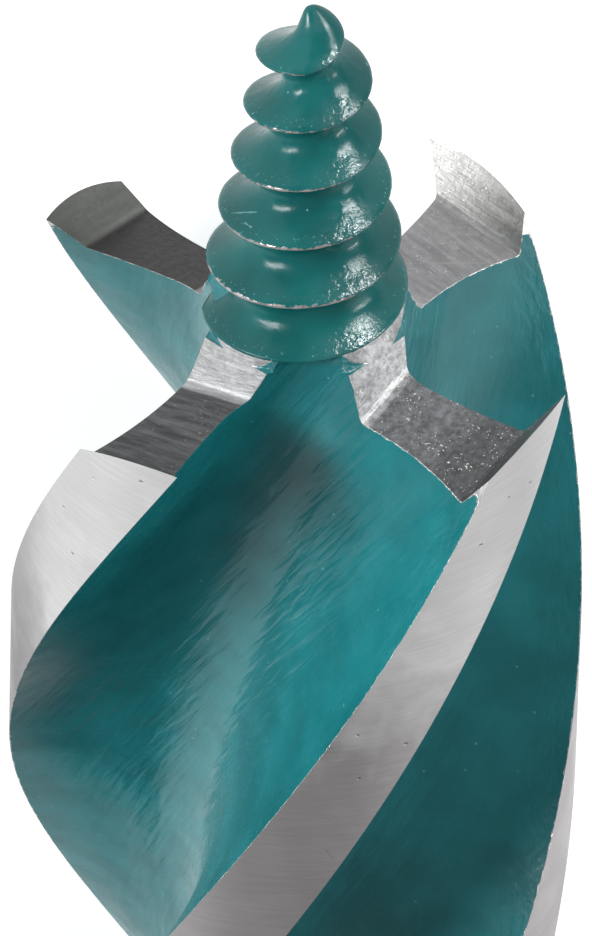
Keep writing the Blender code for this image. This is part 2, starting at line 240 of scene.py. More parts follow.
# Streaks in the flutes: their slant, and how many there are to a millimetre, across and along
STREAK_SLOPE = 0.45
STREAKS_ACROSS = 1.9
STREAKS_ALONG = 0.35

# The values between which a noise counts as low and as high
NOISE_LOW = 0.3
NOISE_HIGH = 0.7

# Light
FLOOR_HALF = 3.0
FLOOR_GLOW = 0.78
WORLD_FILL = 0.32

# Lamps: azimuth and elevation in degrees round the upright bit, distance, width, height, power in
# watts, and whether gloss shows the lamp
LAMPS = {
    "left_key": (208, 20, 1.5, 0.7, 0.7, 9.5, False),
    "left_glint": (201, 24, 1.2, 1.0, 0.22, 22.0, True),
    "left_low": (205, -40, 1.2, 1.0, 0.8, 2.4, True),
    "right_side": (345, -3, 1.1, 0.7, 0.7, 2.0, True),
    "right_low": (335, -34, 1.2, 1.0, 0.7, 1.8, True),
    "right_glint": (346, 20, 1.2, 0.36, 0.14, 5.6, True),
    "high_glint": (347, 56, 1.2, 0.3, 0.3, 6.0, True),
}

# Scratches, between two places on the upright bit in millimetres
SCRATCH_WIDTH = 0.045
SCRATCH_EDGE = 0.02
SCRATCH_SHARE = 0.45
SCREW_SCRATCHES = (
    ((-3.19, -1.13, 6.23), (-2.20, -1.64, 6.77)),
    ((-2.66, -1.96, 6.40), (-2.40, -2.28, 6.46)),
)
FACE_SCRATCH = ((5.41, 5.50, -2.11), (7.76, 6.12, -2.57))
LAND_SCRATCH = ((1.58, -12.40, -20.52), (1.90, -12.35, -21.02))

# Camera: how far round and above the upright bit it stands, what it looks at, and its tilt
CAMERA_AZIMUTH = radians(-90)
CAMERA_ELEVATION = radians(41.73)
CAMERA_ROLL = radians(1.58)
CAMERA_DISTANCE = 0.9193
CAMERA_TARGET = Vector((-0.00018, -0.00466, -0.00522))
CAMERA_LENS = 817.0
CAMERA_SENSOR = 36.0
CAMERA_CLIP_END = 20.0

# What follows from the sizes
BIT_RADIUS = BIT_DIAMETER / 2
SHANK_END = SCREW_LENGTH - OVERALL_LENGTH
FLUTE_END = SCREW_LENGTH - WORKING_LENGTH
HEX_TOP = SHANK_END + HEX_LENGTH
HEX_CORNER_RADIUS = HEX_ACROSS_FLATS / 2 / cos(pi / 6)
BLANK_TOP = COLLAR_HEIGHT
RELIEF_SLOPE = tan(RELIEF_ANGLE)
SCREW_BOTTOM = -GROOVE_RUN_IN - THREAD_OVERLAP
WING_ANGLE = 2 * pi / FLUTES
MM = 1000.0

# Shares of the flute's columns that its leading flank and its root take
FLANK_SHARE = 0.25
ROOT_SHARE = 0.45

LAID_DOWN = (
    Matrix.Translation((OVERALL_LENGTH / 2 - SCREW_LENGTH, 0, BIT_RADIUS))
    @ Euler((0, pi / 2, 0)).to_matrix().to_4x4()
    @ Euler((0, 0, -RESTING_AZIMUTH)).to_matrix().to_4x4()
)

# Slots of the piece's materials. FACE is the first wing's, and the other wings' follow it
FLUTE, SCREW, COLLAR, LAND, SHANK, FACE = range(6)
LACQUERED = (FLUTE, SCREW, COLLAR)


# Shape

def polar(radius, azimuth):
    return Vector((radius * cos(azimuth), radius * sin(azimuth)))


def azimuth_of(point):
    return atan2(point.y, point.x)


def clamp(value, low=0.0, high=1.0):
    return min(max(value, low), high)


def unwrap(azimuth, reference):
    """The same azimuth, on the turn nearest to the reference."""
    return azimuth - 2 * pi * round((azimuth - reference) / (2 * pi))


def flank_centre(corner, root_centre, radius, side):
    """Centre of the flank arc that passes the corner and runs tangentially into the root arc."""
    span = root_centre - corner
    distance = span.length
    to_root = radius - FLUTE_ROOT_RADIUS
    along = (radius**2 - to_root**2 + distance**2) / (2 * distance)
    across = sqrt(max(radius**2 - along**2, 0.0))
    direction = span / distance
    normal = Vector((-direction.y, direction.x)) * side
    return corner + direction * along + normal * across


class FluteOutline:
    """One flute's section: the leading flank, the root and the trailing flank, as three arcs."""

    def __init__(self):
        self.root_centre = polar(CORE_RADIUS + FLUTE_ROOT_RADIUS, FLUTE_ROOT_ANGLE)
        self.lift_direction = polar(1, (WING_ANGLE - LAND_ANGLE) / 2)
        corner = polar(BIT_RADIUS, 0)
        heel = polar(BIT_RADIUS, WING_ANGLE - LAND_ANGLE)
        leading = flank_centre(corner, self.root_centre, LEADING_FLANK_RADIUS, -1)
        trailing = flank_centre(heel, self.root_centre, TRAILING_FLANK_RADIUS, 1)
        to_leading = azimuth_of(self.root_centre - leading)
        to_trailing = unwrap(azimuth_of(self.root_centre - trailing), to_leading)
        from_corner = unwrap(azimuth_of(corner - leading), to_leading)
        to_heel = unwrap(azimuth_of(heel - trailing), to_trailing)
        self.arcs = (
            (leading, LEADING_FLANK_RADIUS, from_corner, to_leading, FLANK_SHARE),
            (self.root_centre, FLUTE_ROOT_RADIUS, to_leading, to_trailing, ROOT_SHARE),
            (trailing, TRAILING_FLANK_RADIUS, to_trailing, to_heel, 1 - FLANK_SHARE - ROOT_SHARE),
        )

    def point(self, share, lift=0.0):
        """The point at this share of the outline, with the flute lifted out of the core."""
        for centre, radius, first, last, part in self.arcs:
            if share <= part or part is self.arcs[-1][4]:
                angle = first + (last - first) * share / part
                return centre + polar(radius, angle) + self.lift_direction * lift
            share -= part

    def deepest(self, lift):
        """The share at which the flute comes nearest to the axis."""
        low, high = 0.0, 1.0
        for _ in range(SEARCH_STEPS):
            third = (high - low) / 3
            if self.point(low + third, lift).length < self.point(high - third, lift).length:
                high -= third
            else:
                low += third
        return (low + high) / 2

    def clip(self, outer_radius, lift):
        """The shares between which the flute lies inside a blank of this radius."""
        deepest = self.deepest(lift)
        if self.point(deepest, lift).length >= outer_radius:
            return deepest, deepest
        ends = []
        for outside in (0.0, 1.0):
            inside = deepest
            for _ in range(SEARCH_STEPS):
                middle = (inside + outside) / 2
                if self.point(middle, lift).length < outer_radius:
                    inside = middle
                else:
                    outside = middle
            ends.append(outside)
        return ends


def turning_profile():
    """Heights and radii of the turned blank, from the shank's end up."""
    chamfer_rise = (HEX_CORNER_RADIUS - NECK_RADIUS) * tan(HEX_CHAMFER_ANGLE)
    cone_end = FLUTE_END + RUN_OUT_TAIL
    cone_start = cone_end + (BIT_RADIUS - NECK_RADIUS) / tan(REAR_CONE_ANGLE)
    return (
        (SHANK_END, HEX_CORNER_RADIUS - END_CHAMFER),
        (SHANK_END + END_CHAMFER, HEX_CORNER_RADIUS),
        (HEX_TOP - chamfer_rise, HEX_CORNER_RADIUS),
        (HEX_TOP, NECK_RADIUS),
        (cone_end, NECK_RADIUS),
        (cone_start, BIT_RADIUS),
        (BLANK_TOP, BIT_RADIUS),
    )


def turned_radius(height):
    profile = turning_profile()
    for (low, low_radius), (high, high_radius) in zip(profile, profile[1:]):
        if height <= high:
            share = clamp((height - low) / (high - low))
            return low_radius + (high_radius - low_radius) * share
    return profile[-1][1]


def run_out_length(radius, rise):
    """Length in which a wheel of this radius comes up out of the core by this rise."""
    return sqrt(radius**2 - (radius - rise) ** 2)


def flute_lift(height):
    """How far the grinding wheel has risen out of the core at this height."""
    rear = run_out_length(REAR_RUN_OUT_RADIUS, NECK_RADIUS - CORE_RADIUS)
    front = run_out_length(FRONT_RUN_OUT_RADIUS, COLLAR_RADIUS - CORE_RADIUS)
    into_rear = FLUTE_END + rear - height
    into_front = height - (COLLAR_HEIGHT - front)
    for depth, radius in ((into_rear, REAR_RUN_OUT_RADIUS), (into_front, FRONT_RUN_OUT_RADIUS)):
        if depth > 0:
            return radius - sqrt(max(radius**2 - depth**2, 0.0))
    return 0.0


def twist(height):
    return SPUR_AZIMUTH + 2 * pi * height / FLUTE_PITCH


def hexagon_radius(azimuth):
    """Distance from the axis to a flat, with a flat turned to the table."""
    from_flat = (azimuth - RESTING_AZIMUTH + pi / 6) % (pi / 3) - pi / 6
    return HEX_ACROSS_FLATS / 2 / cos(from_flat)


def at_height(point, height):
    return Vector((point.x, point.y, height))


def fluted_ring(height, outline):
    """The section at this height: for each wing its land, then the flute in front of it."""
    outer = turned_radius(height)
    lift = flute_lift(height)
    start, end = outline.clip(outer, lift)
    land_start = azimuth_of(outline.point(end, lift)) - WING_ANGLE
    land_end = azimuth_of(outline.point(start, lift))
    has_flute = end > start
    wing_points = []
    for index in range(LAND_STEPS):
        wing_points.append((outer, land_start + (land_end - land_start) * index / LAND_STEPS))
    for index in range(FLUTE_STEPS):
        place = outline.point(start + (end - start) * index / FLUTE_STEPS, lift)
        wing_points.append((place.length if has_flute else outer, azimuth_of(place)))
    return [
        at_height(polar(radius, twist(height) + wing * WING_ANGLE + azimuth), height)
        for wing in range(FLUTES)
        for radius, azimuth in wing_points
    ]


def shank_ring(height, start):
    """A round or hexagonal ring of the shank, with a vertex on each corner of the hexagon."""
    count = FLUTES * WING_STEPS
    corner = RESTING_AZIMUTH + pi / 6
    first = round((start - corner) / (2 * pi) * count)
    points = []
    for index in range(first, first + count):
        azimuth = corner + 2 * pi * index / count
        radius = min(hexagon_radius(azimuth), turned_radius(height))
        points.append(at_height(polar(radius, azimuth), height))
    return points


def levels(low, high, step):
    """Heights from low to high, at most a step apart, with the turned profile's own."""
    cuts = [low, *(z for z, _ in turning_profile() if low < z < high), high]
    heights = set()
    for start, end in zip(cuts, cuts[1:]):
        count = ceil((end - start) / step)
        heights.update(start + (end - start) * index / count for index in range(count + 1))
    return sorted(heights)


def mapped_mesh():
    """A new mesh, and its map."""
    result = bmesh.new()
    return result, result.loops.layers.uv.new("grain")


def loft(rings, measured, material_of_column):
    """An open mesh through rings. Its map has the lengths round the measured ring, and heights."""
    result, grain = mapped_mesh()
    rows = [[result.verts.new(point) for point in ring] for ring in rings]
    count = len(rings[0])
    across = [0.0]
    for index in range(count):
        across.append(across[-1] + (measured[(index + 1) % count] - measured[index]).length)
    for row, (lower, upper) in enumerate(zip(rows, rows[1:])):
        low, high = rings[row][0].z, rings[row + 1][0].z
        for index in range(count):
            after = (index + 1) % count
            corners = (lower[index], lower[after], upper[after], upper[index])
            if len({corner.co.to_tuple(LOFT_DIGITS) for corner in corners}) < 4:
                continue
            face = result.faces.new(corners)
            face.material_index = material_of_column(index)
            places = ((across[index], low), (across[index + 1], low),
                      (across[index + 1], high), (across[index], high))
            for loop, place in zip(face.loops, places):
                loop[grain].uv = Vector(place) * MM
    return result


def add_object(name, data):
    """A new object in the scene."""
    result = bpy.data.objects.new(name, data)
    bpy.context.scene.collection.objects.link(result)
    return result


def finish_mesh(name, mesh_data, materials, slot=None):
    """An object of the mesh, whose faces all take one slot's material if a slot is given."""
    if slot is not None:
        for face in mesh_data.faces:
            face.material_index = slot
    bmesh.ops.recalc_face_normals(mesh_data, faces=mesh_data.faces)
    mesh = bpy.data.meshes.new(name)
    mesh_data.to_mesh(mesh)
    mesh_data.free()
    for material in materials:
        mesh.materials.append(material)
    return add_object(name, mesh)


def column_material(index):
    return LAND if index % WING_STEPS < LAND_STEPS else FLUTE


def tip_blank(outline, materials):
    """The upper end of the fluted blank, closed, from which the end faces are ground."""
    rings = [fluted_ring(z, outline) for z in levels(-TIP_DEPTH, BLANK_TOP, TIP_RING_STEP)]
    result = loft(rings, rings[0], column_material)
    caps = bmesh.ops.holes_fill(result, edges=[e for e in result.edges if e.is_boundary])
    for face in caps["faces"]:
        face.material_index = COLLAR
    return finish_mesh("tip", result, materials)


def long_body(outline, materials):
    """The rest of the fluted body, open where the tip and the neck meet it."""
    rings = [fluted_ring(z, outline) for z in levels(FLUTE_END, -TIP_DEPTH, BODY_RING_STEP)]
    return finish_mesh("body", loft(rings, rings[-1], column_material), materials)


def shank_body(outline, materials):
    """The round neck and the hexagonal shank, open where the fluted body meets it."""
    heights = levels(SHANK_END, FLUTE_END, SHANK_RING_STEP)
    top = fluted_ring(FLUTE_END, outline)
    rings = [shank_ring(z, azimuth_of(top[0])) for z in heights[:-1]] + [top]
    result = loft(rings, rings[0], lambda index: SHANK)
    bmesh.ops.holes_fill(result, edges=[e for e in result.edges if e.is_boundary
                                        and e.verts[0].co.z < HEX_TOP])
    return finish_mesh("shank", result, materials, SHANK)


def shoulder_cutter(materials):
    """What is turned off round the collar, down to the wings' upper ends."""
    outside = BIT_RADIUS + CUTTER_MARGIN
    high = BLANK_TOP + CUTTER_MARGIN
    profile = (
        (COLLAR_RADIUS, -SHOULDER_DEPTH),
        (BIT_RADIUS * cos(LAND_ANGLE / 2) - SPUR_WIDTH, 0),
        (outside, 0),
        (outside, high),
        (COLLAR_RADIUS, high),
    )
    result, _ = mapped_mesh()
    corners = [result.verts.new((radius, 0, height)) for radius, height in profile]
    edges = [result.edges.new((corners[i - 1], corners[i])) for i in range(len(corners))]
    bmesh.ops.spin(result, geom=corners + edges, axis=(0, 0, 1), cent=(0, 0, 0),
                   angle=2 * pi, steps=COLLAR_STEPS, use_merge=True)
    return finish_mesh("shoulder_cutter", result, materials, COLLAR)


def rounded_corner(before, corner, after, radius):
    """Points of the arc that replaces a corner of a profile."""
    back = (before - corner).normalized()
    ahead = (after - corner).normalized()
    half = acos(clamp(back.dot(ahead), -1.0)) / 2
    centre = corner + (back + ahead).normalized() * radius / sin(half)
    first = corner + back * radius / tan(half) - centre
    last = corner + ahead * radius / tan(half) - centre
    start = azimuth_of(first)
    sweep = unwrap(azimuth_of(last), start) - start
    return [centre + polar(radius, start + sweep * i / CORNER_STEPS)
            for i in range(CORNER_STEPS + 1)]


def wheel_profile():
    """The grinding wheel's face over a wing: distance from the axis, and height."""
    corner = BIT_RADIUS * cos(LAND_ANGLE / 2)
    foot_height = -SPUR_HEIGHT + EDGE_RISE
    foot = Vector((COLLAR_RADIUS + WALL_SETBACK, foot_height))
    crease = Vector((corner - SPUR_WIDTH, -SPUR_HEIGHT))
    outside = BIT_RADIUS + CUTTER_MARGIN
    slope = SPUR_HEIGHT / SPUR_WIDTH
    spur_outside = Vector((outside, (outside - corner) * slope))
    ceiling = max(BLANK_TOP, spur_outside.y) + 2 * CUTTER_MARGIN
    wall_width = (ceiling - foot_height) / tan(WALL_ANGLE)
    wall_top = Vector((foot.x - wall_width, ceiling))
    return [
        wall_top,
        *rounded_corner(wall_top, foot, crease, WHEEL_CORNER_RADIUS),
        *rounded_corner(foot, crease, spur_outside, WHEEL_CORNER_RADIUS),
        spur_outside,
        Vector((outside, ceiling)),
    ]


def face_cutter(wing, materials):
    """What the wheel takes off one wing. Its map has lengths along the pass and out from the wall."""
    spur_across = BIT_RADIUS * sin(LAND_ANGLE / 2)
    profile = wheel_profile()
    result, grain = mapped_mesh()
    rows = []
    for step in range(FACE_STEPS + 1):
        across = BIT_RADIUS * (2 * step / FACE_STEPS - 1)
        rows.append([
            result.verts.new((distance, across, height + (across - spur_across) * RELIEF_SLOPE))
            for distance, height in profile
        ])
    along = [0.0]
    for index in range(len(profile)):
        along.append(along[-1] + (profile[(index + 1) % len(profile)] - profile[index]).length)
    foot = along[1 + CORNER_STEPS // 2]
    for row, (near, far) in enumerate(zip(rows, rows[1:])):
        for index in range(len(profile)):
            after = (index + 1) % len(profile)
            face = result.faces.new((near[index], near[after], far[after], far[index]))
            places = ((along[index], near[index]), (along[index + 1], near[after]),
                      (along[index + 1], far[after]), (along[index], far[index]))
            for loop, (distance, vertex) in zip(face.loops, places):
                loop[grain].uv = Vector((vertex.co.y, distance - foot)) * MM
    result.faces.new(rows[0])
    result.faces.new(rows[-1])
    cutter = finish_mesh(f"face_cutter_{wing + 1}", result, materials, FACE + wing)
    cutter.rotation_euler.z = SPUR_AZIMUTH - LAND_ANGLE / 2 + wing * WING_ANGLE
    return cutter


def crest_radius(height):
    return THREAD_RADIUS - SCREW_TAPER * max(height - STRAIGHT_THREAD, 0.0)


def root_radius(height):
    """The screw's core under the thread, rounded off to its point."""
    radius = crest_radius(height) - THREAD_DEPTH
    into_point = clamp((height - (SCREW_LENGTH - SCREW_POINT_LENGTH)) / SCREW_POINT_LENGTH)
    return radius * sqrt(1 - into_point**2)


def ridge_height(height):
    """How far the thread stands out of the core, from the collar to the point."""
    begun = clamp(1 + height / GROOVE_RUN_IN)
    left = clamp((SCREW_LENGTH - height) / THREAD_FADE)
    return THREAD_DEPTH * begun * left**2


def ridge_shape(share):
    """The thread's section from one crest to the next: narrow, rounded crests and a round root."""
    from_crest = min(share, 1 - share)
    drop = sin(pi * min(sqrt(from_crest**2 + CREST_ROUNDING**2), 0.5)) ** RIDGE_POWER
    return (1 - drop) / (1 - sin(pi * CREST_ROUNDING) ** RIDGE_POWER)


def crest_height_at(azimuth):
    return (azimuth - THREAD_START_AZIMUTH) / (2 * pi) * SCREW_PITCH


def point_offset(height):
    """How far the core winds off the axis with the thread, towards its point."""
    share = max(1 - (SCREW_LENGTH - height) / POINT_OFFSET_RISE, 0.0)
    azimuth = THREAD_START_AZIMUTH + 2 * pi * height / SCREW_PITCH
    return polar(POINT_OFFSET * share, azimuth)


def screw_point(azimuth, share):
    """A point of the screw above this azimuth, at this share of the way up to the next turn."""
    crest_height = crest_height_at(azimuth)
    rise = clamp(SCREW_LENGTH - crest_height, 0.0, SCREW_PITCH)
    height = clamp(crest_height + share * rise, SCREW_BOTTOM, SCREW_LENGTH)
    share = (height - crest_height) / SCREW_PITCH
    ridge = ridge_height(crest_height if share < 0.5 else crest_height + SCREW_PITCH)
    radius = root_radius(height) + ridge * ridge_shape(share)
    if height >= SCREW_LENGTH:
        radius = 0.0
    return at_height(polar(radius, azimuth) + point_offset(height), height)


def feed_screw(materials):
    """The tapered screw as one sheet that winds up to its point, one thread wide."""
    first_turn = ceil(SCREW_BOTTOM / SCREW_PITCH - 2)
    start = 2 * pi * first_turn + THREAD_START_AZIMUTH
    turns = ceil(SCREW_LENGTH / SCREW_PITCH) - first_turn + 1
    result, grain = mapped_mesh()
    columns = []
    for index in range(turns * THREAD_TURN_STEPS + 1):
        azimuth = start + 2 * pi * index / THREAD_TURN_STEPS
        columns.append([
            result.verts.new(screw_point(azimuth, step / THREAD_PROFILE_STEPS))
            for step in range(THREAD_PROFILE_STEPS + 1)
        ])
    for index, (left, right) in enumerate(zip(columns, columns[1:])):
        turn = index / THREAD_TURN_STEPS
        for step in range(THREAD_PROFILE_STEPS):
            corners = (left[step], right[step], right[step + 1], left[step + 1])
            places = {}
            for corner, place in zip(corners, ((0, 0), (1, 0), (1, 1), (0, 1))):
                places.setdefault(corner.co.to_tuple(SCREW_DIGITS), (corner, place))
            if len(places) < 3:
                continue
            face = result.faces.new([corner for corner, _ in places.values()])
            for loop, (_, (ahead, above)) in zip(face.loops, places.values()):
                around = (turn + ahead / THREAD_TURN_STEPS) * 2 * pi * THREAD_RADIUS
                up = (step + above) / THREAD_PROFILE_STEPS * SCREW_PITCH
                loop[grain].uv = Vector((around, up)) * MM
    bmesh.ops.remove_doubles(result, verts=result.verts, dist=MERGE_DISTANCE)
    bmesh.ops.holes_fill(result, edges=[e for e in result.edges if e.is_boundary])
    return finish_mesh("feed_screw", result, materials, SCREW)


def groove_cutter(materials):
    """The last turn of the thread's groove, which starts in the collar and deepens upwards."""
    start = THREAD_START_AZIMUTH - 2 * pi * GROOVE_RUN_IN / SCREW_PITCH
    end = THREAD_START_AZIMUTH + 2 * pi * (COLLAR_HEIGHT + GROOVE_RUN_IN) / SCREW_PITCH
    steps = ceil((end - start) / (2 * pi) * THREAD_TURN_STEPS)
    outside = THREAD_RADIUS + CUTTER_MARGIN
    result, _ = mapped_mesh()
    sections = []
    for index in range(steps + 1):
        azimuth = start + (end - start) * index / steps
        depth = min((azimuth - start) / GROOVE_RUN_IN_ANGLE, 1.0)
        crest_height = crest_height_at(azimuth)
        section = []
        for step in range(THREAD_PROFILE_STEPS + 1):
            share = step / THREAD_PROFILE_STEPS
            height = crest_height + share * SCREW_PITCH
            thread = root_radius(height) + THREAD_DEPTH * ridge_shape(share) - GROOVE_CLEARANCE
            section.append((outside + (thread - outside) * depth, height))
        section.append((outside + CUTTER_MARGIN, crest_height + SCREW_PITCH))
        section.append((outside + CUTTER_MARGIN, crest_height))
        sections.append([result.verts.new(at_height(polar(radius, azimuth), height))
                         for radius, height in section])
    for left, right in zip(sections, sections[1:]):
        for index in range(len(left)):
            result.faces.new((left[index - 1], left[index], right[index], right[index - 1]))
    result.faces.new(sections[0])
    result.faces.new(sections[-1])
    return finish_mesh("groove_cutter", result, materials, COLLAR)


def apply_booleans(target, tools):
    """Cuts or joins each tool in turn, and leaves the result as the target's own mesh."""
    for tool, operation in tools:
        modifier = target.modifiers.new(tool.name, "BOOLEAN")
        modifier.operation = operation
        modifier.object = tool
    depsgraph = bpy.context.evaluated_depsgraph_get()
    mesh = bpy.data.meshes.new_from_object(target.evaluated_get(depsgraph))
    target.modifiers.clear()
    target.data = mesh
    for tool, _ in tools:
        bpy.data.objects.remove(tool)


def join(parts, name, materials):
    """One object from parts that share the rings where they meet, without the tip's lower cap."""
    result = bmesh.new()
    for part in parts:
        result.from_mesh(part.data)
        bpy.data.objects.remove(part)
    cap = [face for face in result.faces
           if all(abs(vertex.co.z + TIP_DEPTH) < MERGE_DISTANCE for vertex in face.verts)]
    bmesh.ops.delete(result, geom=cap, context="FACES_ONLY")
    bmesh.ops.remove_doubles(result, verts=result.verts, dist=MERGE_DISTANCE)
    return finish_mesh(name, result, materials)


def dent_screw(mesh):
    """Dents the screw's lacquer, most on the side that was struck, and waves its crests a little."""
    on_screw = {index for polygon in mesh.polygons if polygon.material_index == SCREW
                for index in polygon.vertices}
    moves = []
    for index in on_screw:
        vertex = mesh.vertices[index]
        from_point = clamp((SCREW_LENGTH - vertex.co.z) / DENT_FADE)
        away = abs(unwrap(azimuth_of(vertex.co), STRUCK_AZIMUTH) - STRUCK_AZIMUTH)
        share = clamp(1 - away / STRUCK_WIDTH)
        depth = (PLAIN_DENT + (STRUCK_DENT - PLAIN_DENT) * share) * from_point
        dent = noise.fractal(vertex.co / DENT_SIZE, DENT_ROUGHNESS, DENT_SPACING, DENT_OCTAVES)
        moves.append((vertex, vertex.normal * (dent * depth)))
    for vertex, move in moves:
        vertex.co += move


def edge_materials(mesh):
    """The slots of the materials that meet at each edge."""
    sides = {}
    for polygon in mesh.polygons:
        for key in polygon.edge_keys:
            sides.setdefault(key, set()).add(polygon.material_index)
    return sides


def soften_collar(mesh):
    """Shades the thick lacquer of the screw and its collar without sharp edges."""
    sides = edge_materials(mesh)
    for edge in mesh.edges:
        if sides[edge.key] <= {SCREW, COLLAR}:
            edge.use_edge_sharp = False


def edge_distances(mesh):
    """Distance in millimetres from each vertex to where the lacquer meets ground steel."""
    points = []
    for (first, last), indices in edge_materials(mesh).items():
        if len({index in LACQUERED for index in indices}) == 2:
            start = mesh.vertices[first].co
            way = mesh.vertices[last].co - start
            count = ceil(way.length / EDGE_STEP)
            points += [start + way * index / count for index in range(count + 1)]
    tree = kdtree.KDTree(len(points))
    for index, point in enumerate(points):
        tree.insert(point, index)
    tree.balance()
    return [tree.find(vertex.co)[2] * MM for vertex in mesh.vertices]


def mark_surface(mesh):
    """Stores what the materials go by: the place on the upright bit, and the lacquer's edge."""
    place = mesh.attributes.new("place", "FLOAT_VECTOR", "POINT")
    place.data.foreach_set("vector", [value * MM for vertex in mesh.vertices for value in vertex.co])
    edge = mesh.attributes.new("edge", "FLOAT", "POINT")
    edge.data.foreach_set("value", edge_distances(mesh))


def build_bit(outline, materials):
    tip = tip_blank(outline, materials)
    tools = [(shoulder_cutter(materials), "DIFFERENCE")]
    tools += [(face_cutter(wing, materials), "DIFFERENCE") for wing in range(FLUTES)]
    tools += [(groove_cutter(materials), "DIFFERENCE"), (feed_screw(materials), "UNION")]
    apply_booleans(tip, tools)
    bit = join([tip, long_body(outline, materials), shank_body(outline, materials)], "bit", materials)
    mark_surface(bit.data)
    dent_screw(bit.data)
    bit.data.transform(LAID_DOWN)
    bit.data.shade_smooth()
    bit.data.set_sharp_from_angle(angle=SMOOTH_ANGLE)
    soften_collar(bit.data)
    return bit


# Materials

class Nodes:
    """One material's tree, with short calls for the nodes that the surfaces are made of."""

    def __init__(self, name):
        self.material = bpy.data.materials.new(name)
        self.material.use_nodes = True
        self.tree = self.material.node_tree
        self.shader = self.tree.nodes["Principled BSDF"]

    def add(self, kind, inputs=(), **settings):
        node = self.tree.nodes.new(kind)
        for key, value in settings.items():
            setattr(node, key, value)
        for socket, value in dict(inputs).items():
            self.feed(node.inputs[socket], value)
        return node

    def feed(self, socket, value):
        if isinstance(value, bpy.types.NodeSocket):
            self.tree.links.new(value, socket)
        else:
            socket.default_value = (*value, 1) if socket.type == "RGBA" else value

    def place(self):
        """Position on the upright bit in millimetres."""
        return self.add("ShaderNodeAttribute", attribute_name="place").outputs["Vector"]

    def edge(self):
        """Distance in millimetres to where the lacquer meets ground steel."""
        return self.add("ShaderNodeAttribute", attribute_name="edge").outputs["Fac"]

    def grain(self):
        """The mesh's map in millimetres, as two values."""
        return self.split(self.add("ShaderNodeUVMap", uv_map="grain").outputs["UV"])[:2]

    def split(self, vector):
        return self.add("ShaderNodeSeparateXYZ", {0: vector}).outputs[:]

    def vector(self, x, y):
        return self.add("ShaderNodeCombineXYZ", {"X": x, "Y": y}).outputs["Vector"]

    def math(self, operation, *values):
        node = self.add("ShaderNodeMath", dict(enumerate(values)), operation=operation)
        return node.outputs["Value"]

    def plus(self, first, last):
        return self.math("ADD", first, last)

    def less(self, first, last):
        return self.math("SUBTRACT", first, last)

    def times(self, first, last):
        return self.math("MULTIPLY", first, last)

    def vectors(self, operation, output, *values):
        node = self.add("ShaderNodeVectorMath", dict(enumerate(values)), operation=operation)
        return node.outputs[output]

    def shade(self, colour, amount):
        """The colour, multiplied by a value."""
        node = self.add("ShaderNodeVectorMath", {0: colour, 3: amount}, operation="SCALE")
        return node.outputs["Vector"]

    def noise(self, vector, scale, detail=2.0, roughness=0.5, distortion=0.0):
        """A noise with this many waves to a millimetre, round about 0.5."""
        inputs = {"Vector": vector, "Scale": scale, "Detail": detail, "Roughness": roughness,
                  "Distortion": distortion}
        return self.add("ShaderNodeTexNoise", inputs).outputs["Fac"]

    def spots(self, vector, scale):
        """Distance to the nearest of many scattered points, in parts of their spacing."""
        return self.add("ShaderNodeTexVoronoi", {"Vector": vector, "Scale": scale}).outputs["Distance"]

    def step(self, value, low, high, first=0.0, last=1.0):
        """A smooth step from first to last, as the value goes from low to high."""
        inputs = {"Value": value, "From Min": low, "From Max": high, "To Min": first, "To Max": last}
        node = self.add("ShaderNodeMapRange", inputs, interpolation_type="SMOOTHSTEP")
        return node.outputs["Result"]

    def clouds(self, noise_value, first=0.0, last=1.0):
        """A value that drifts between first and last with a noise."""
        return self.step(noise_value, NOISE_LOW, NOISE_HIGH, first, last)

    def within(self, distance, reach):
        """1 where the distance is less than the reach, else 0, with a slightly soft edge."""
        return self.step(self.less(distance, reach), -WORN_EDGE, WORN_EDGE, 1.0, 0.0)

    def ramp(self, value, low, high, stops):
        """A colour by value, from stops that give the value and the colour there."""
        share = self.add("ShaderNodeMapRange", {"Value": value, "From Min": low, "From Max": high})
        node = self.add("ShaderNodeValToRGB", {"Fac": share.outputs["Result"]})
        elements = node.color_ramp.elements
        while len(elements) < len(stops):
            elements.new(0.5)
        for element, (place, colour) in zip(elements, stops):
            element.position = (place - low) / (high - low)
            element.color = (*colour, 1)
        return node.outputs["Color"]

    def mix(self, share, first, last):
        """A mix of two colours."""
        inputs = {0: share, 6: first, 7: last}
        return self.add("ShaderNodeMix", inputs, data_type="RGBA").outputs[2]

    def scratch(self, place, start, end):
        """How strongly a broken, straight scratch between two places shows."""
        way = Vector(end) - Vector(start)
        beyond = self.vectors("SUBTRACT", "Vector", place, start)
        along = self.vectors("DOT_PRODUCT", "Value", beyond, way / way.length_squared)
        share = self.add("ShaderNodeClamp", {"Value": along}).outputs["Result"]
        aside = self.vectors("DISTANCE", "Value", beyond, self.shade(tuple(way), share))
        width = self.step(self.noise(place, 2.5, 3.0), 0.35, 0.65, 0.0, SCRATCH_WIDTH)
        return self.step(self.less(aside, width), 0.0, SCRATCH_EDGE, SCRATCH_SHARE, 0.0)

    def bump(self, height, depth, below=None):
        """Relief of this depth in millimetres, over another relief if there is one."""
        inputs = {"Height": height, "Strength": 1.0, "Distance": depth / MM}
        if below is not None:
            inputs["Normal"] = below
        return self.add("ShaderNodeBump", inputs).outputs["Normal"]

    def finish(self, **inputs):
        """The material, with these inputs of its shader."""
        names = {"colour": "Base Color", "roughness": "Roughness", "metallic": "Metallic",
                 "normal": "Normal", "gloss": "Specular IOR Level"}
        for key, value in inputs.items():
            self.feed(self.shader.inputs[names[key]], value)
        return self.material


def lighter(colour, factor):
    return tuple(min(value * factor, 1.0) for value in colour)


def chipped(nodes, place, reach):
    """1 where the lacquer has come off within about this reach of its edge, else 0."""
    ragged = nodes.noise(place, 2.6, 4.0, 0.65)
    return nodes.within(nodes.edge(), nodes.step(ragged, 0.38, 0.72, reach * 0.25, reach * 2.2))


